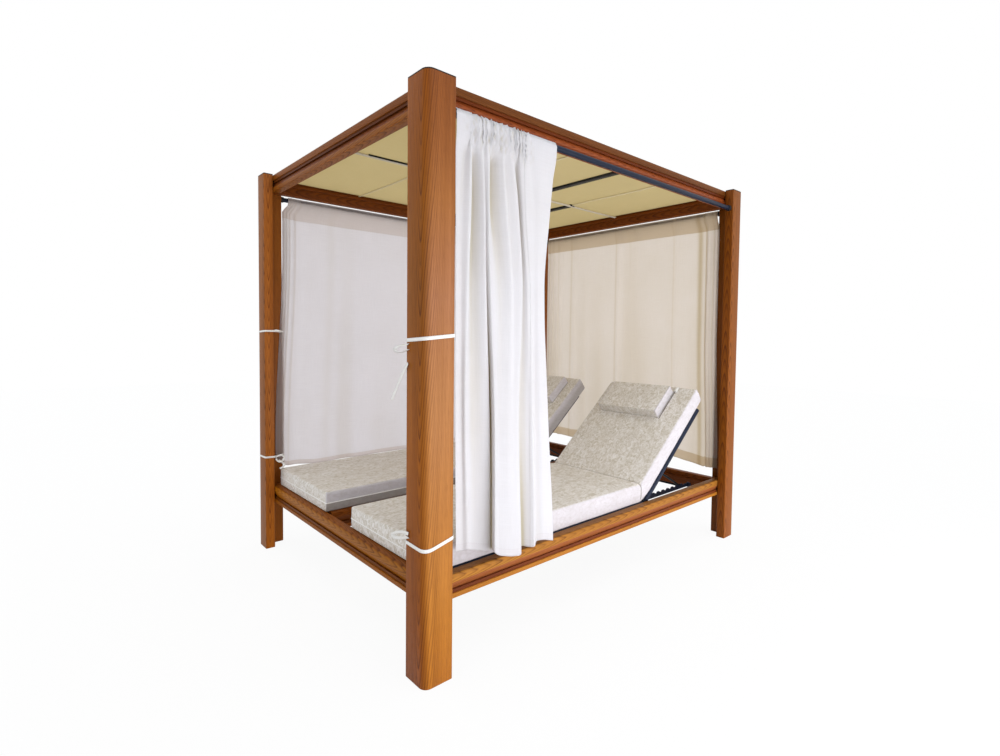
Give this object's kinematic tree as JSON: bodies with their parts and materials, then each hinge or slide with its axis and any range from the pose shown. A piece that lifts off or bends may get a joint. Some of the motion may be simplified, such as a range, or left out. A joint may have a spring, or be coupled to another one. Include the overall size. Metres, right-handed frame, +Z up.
{
  "type": "outdoor daybed with canopy",
  "caption": "Wooden four-post garden daybed with side-by-side reclining loungers, a cloth roof on bars and curtains on rods.",
  "frame": {"origin": "on the floor, under the middle of the four posts", "axes": "+X runs along the loungers from the foot end to the head end, +Y to the far long side, +Z up"},
  "size_m": [2.2815, 1.7244, 2.1],
  "materials": {
    "wood": "oiled reddish hardwood with dark cathedral grain",
    "cap": "thin moulded end cap",
    "galvanised": "zinc-plated",
    "black_bar": "black powder coat",
    "blue_tube": "slate-blue powder coat",
    "black_steel": "black coated round bar",
    "socket": "moulded rod socket",
    "roof_cloth": "tan canvas, lit through from above",
    "curtain_cloth": "thin off-white polyester weave",
    "tape": "white woven tape",
    "pad_cloth": "mottled beige canvas over foam"
  },
  "bodies": {
    "root": {"post_foot_near": "wood", "post_foot_far": "wood", "post_head_near": "wood", "post_head_far": "wood", "post_cap_foot_near": "cap", "post_cap_foot_far": "cap", "post_cap_head_near": "cap", "post_cap_head_far": "cap", "rail_near": "wood", "rail_far": "wood", "rail_head": "wood", "rail_foot": "wood", "roof_beam_near": "wood", "roof_beam_far": "wood", "roof_beam_head": "wood", "roof_beam_foot": "wood", "inner_beam_near": "wood", "inner_beam_far": "wood", "bracket_foot_near": "galvanised", "bracket_foot_far": "galvanised", "bracket_head_near": "galvanised", "bracket_head_far": "galvanised", "roof_cross_bar_1": "black_bar", "roof_cross_bar_2": "black_bar", "roof_cross_bar_3": "black_bar", "roof_cross_bar_4": "black_bar", "roof_centre_bar": "black_bar", "roof_cloth": "roof_cloth", "near_rod": "blue_tube", "near_rod_socket_1": "socket", "near_rod_socket_2": "socket", "far_rod": "blue_tube", "far_rod_socket_1": "socket", "far_rod_socket_2": "socket", "head_rod": "blue_tube", "head_rod_socket_1": "socket", "head_rod_socket_2": "socket", "far_curtain": "curtain_cloth", "head_curtain": "curtain_cloth", "tie_foot_near_upper": "tape", "tie_foot_near_lower": "tape", "tie_foot_far_upper": "tape", "tie_foot_far_lower": "tape", "near_seat_frame": "blue_tube", "near_seat_pad": "pad_cloth", "near_fold_pad": "pad_cloth", "far_seat_frame": "blue_tube", "far_seat_pad": "pad_cloth", "far_fold_pad": "pad_cloth"},
    "near_backrest": {"near_hinge_rod": "black_steel", "near_backrest_frame": "blue_tube", "near_back_pad": "pad_cloth", "near_pillow": "pad_cloth"},
    "near_prop": {"near_prop": "black_steel"},
    "far_backrest": {"far_hinge_rod": "black_steel", "far_backrest_frame": "blue_tube", "far_back_pad": "pad_cloth", "far_pillow": "pad_cloth"},
    "far_prop": {"far_prop": "black_steel"},
    "near_curtain": {"near_curtain": "curtain_cloth"}
  },
  "joints": [
    {"name": "near_backrest_recline", "type": "hinge", "parent": "root", "child": "near_backrest", "pos_m": [0.326, -0.46235, 0.3333], "axis": [0, -1, 0], "range_deg": [-40, 20], "deforming": ["near_fold_pad"]},
    {"name": "near_prop_swing", "type": "hinge", "parent": "near_backrest", "child": "near_prop", "pos_m": [0.51368, -0.46235, 0.49078], "axis": [0, -1, 0], "range_deg": [-33, 65]},
    {"name": "far_backrest_recline", "type": "hinge", "parent": "root", "child": "far_backrest", "pos_m": [0.326, 0.46235, 0.3333], "axis": [0, -1, 0], "range_deg": [-40, 20], "deforming": ["far_fold_pad"]},
    {"name": "far_prop_swing", "type": "hinge", "parent": "far_backrest", "child": "far_prop", "pos_m": [0.51368, 0.46235, 0.49078], "axis": [0, -1, 0], "range_deg": [-33, 65]},
    {"name": "near_curtain_slide", "type": "slide", "parent": "root", "child": "near_curtain", "axis": [1, 0, 0], "range_m": [0, 1.48]}
  ],
  "couplings": [
    {"joint": "near_prop_swing", "follows": "near_backrest_recline", "ratio": -1.61},
    {"joint": "far_prop_swing", "follows": "far_backrest_recline", "ratio": -1.61}
  ]
}
